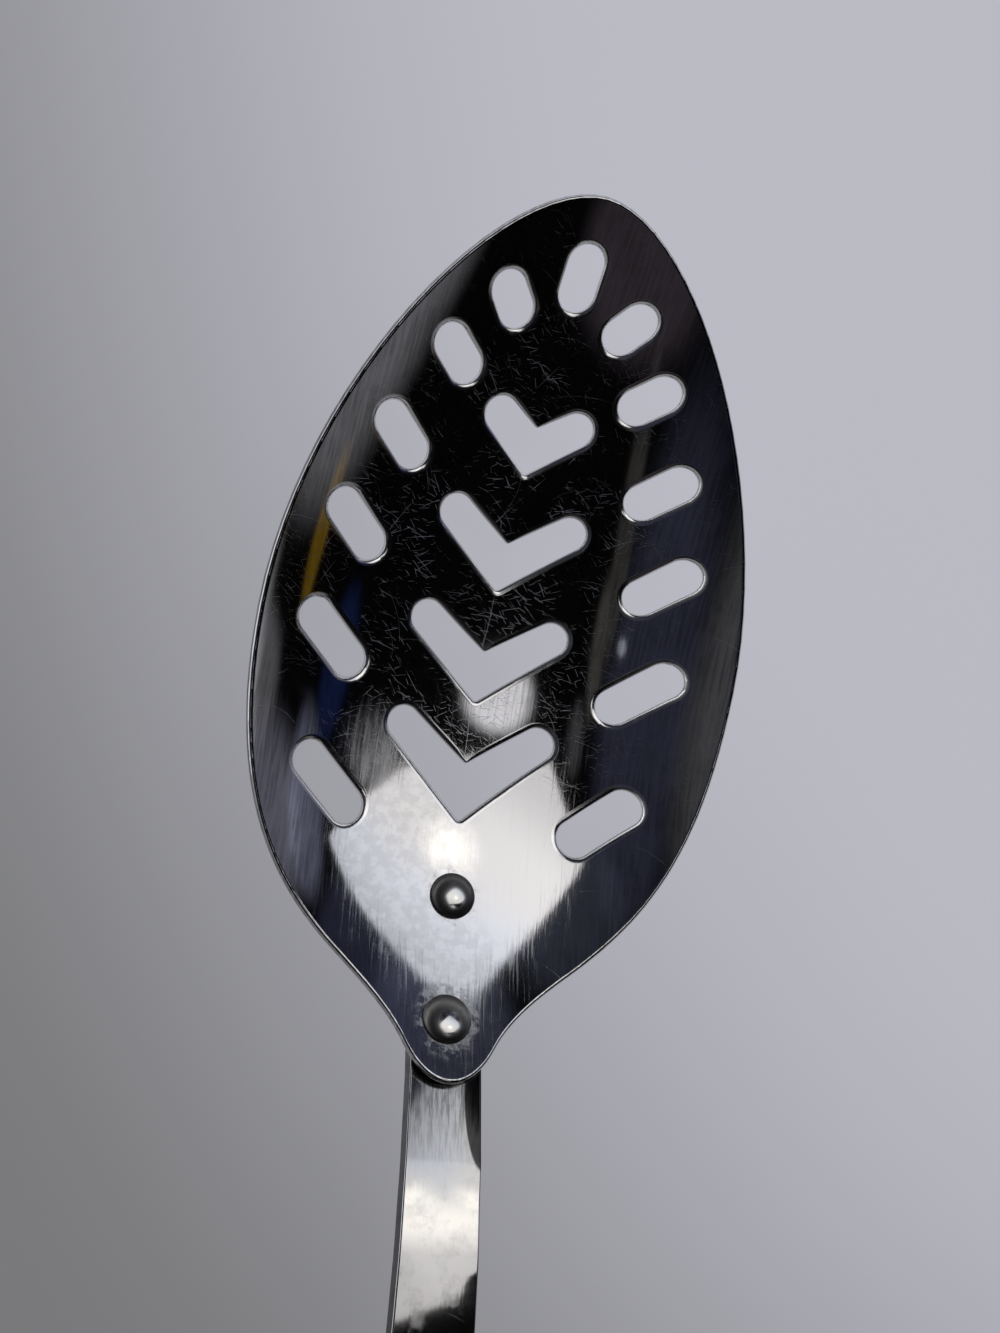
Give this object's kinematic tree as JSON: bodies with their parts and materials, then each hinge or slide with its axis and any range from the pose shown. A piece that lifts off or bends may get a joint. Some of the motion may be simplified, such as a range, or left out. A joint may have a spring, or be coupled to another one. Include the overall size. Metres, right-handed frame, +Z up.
{
  "type": "pierced serving spoon",
  "caption": "Pierced serving spoon: an egg-shaped polished steel bowl with drain slots and chevrons, riveted to an arched strip handle.",
  "frame": {"origin": "on the surface the spoon lies on, under the middle of its overall length and width", "axes": "+Y from the handle's end towards the tip of the bowl, +Z up out of the bowl's hollow, +X across the bowl"},
  "size_m": [0.066, 0.2962, 0.0319],
  "materials": {
    "polished_bowl": "mirror-polished stainless steel with fine random scratches",
    "handle_steel": "polished stainless steel, brushed lengthwise, worn cloudy near the rivets",
    "rivet_steel": "polished stainless steel"
  },
  "bodies": {
    "root": {"bowl": "polished_bowl", "handle_strip": "handle_steel", "rivet_upper": "rivet_steel", "rivet_lower": "rivet_steel"}
  },
  "joints": []
}
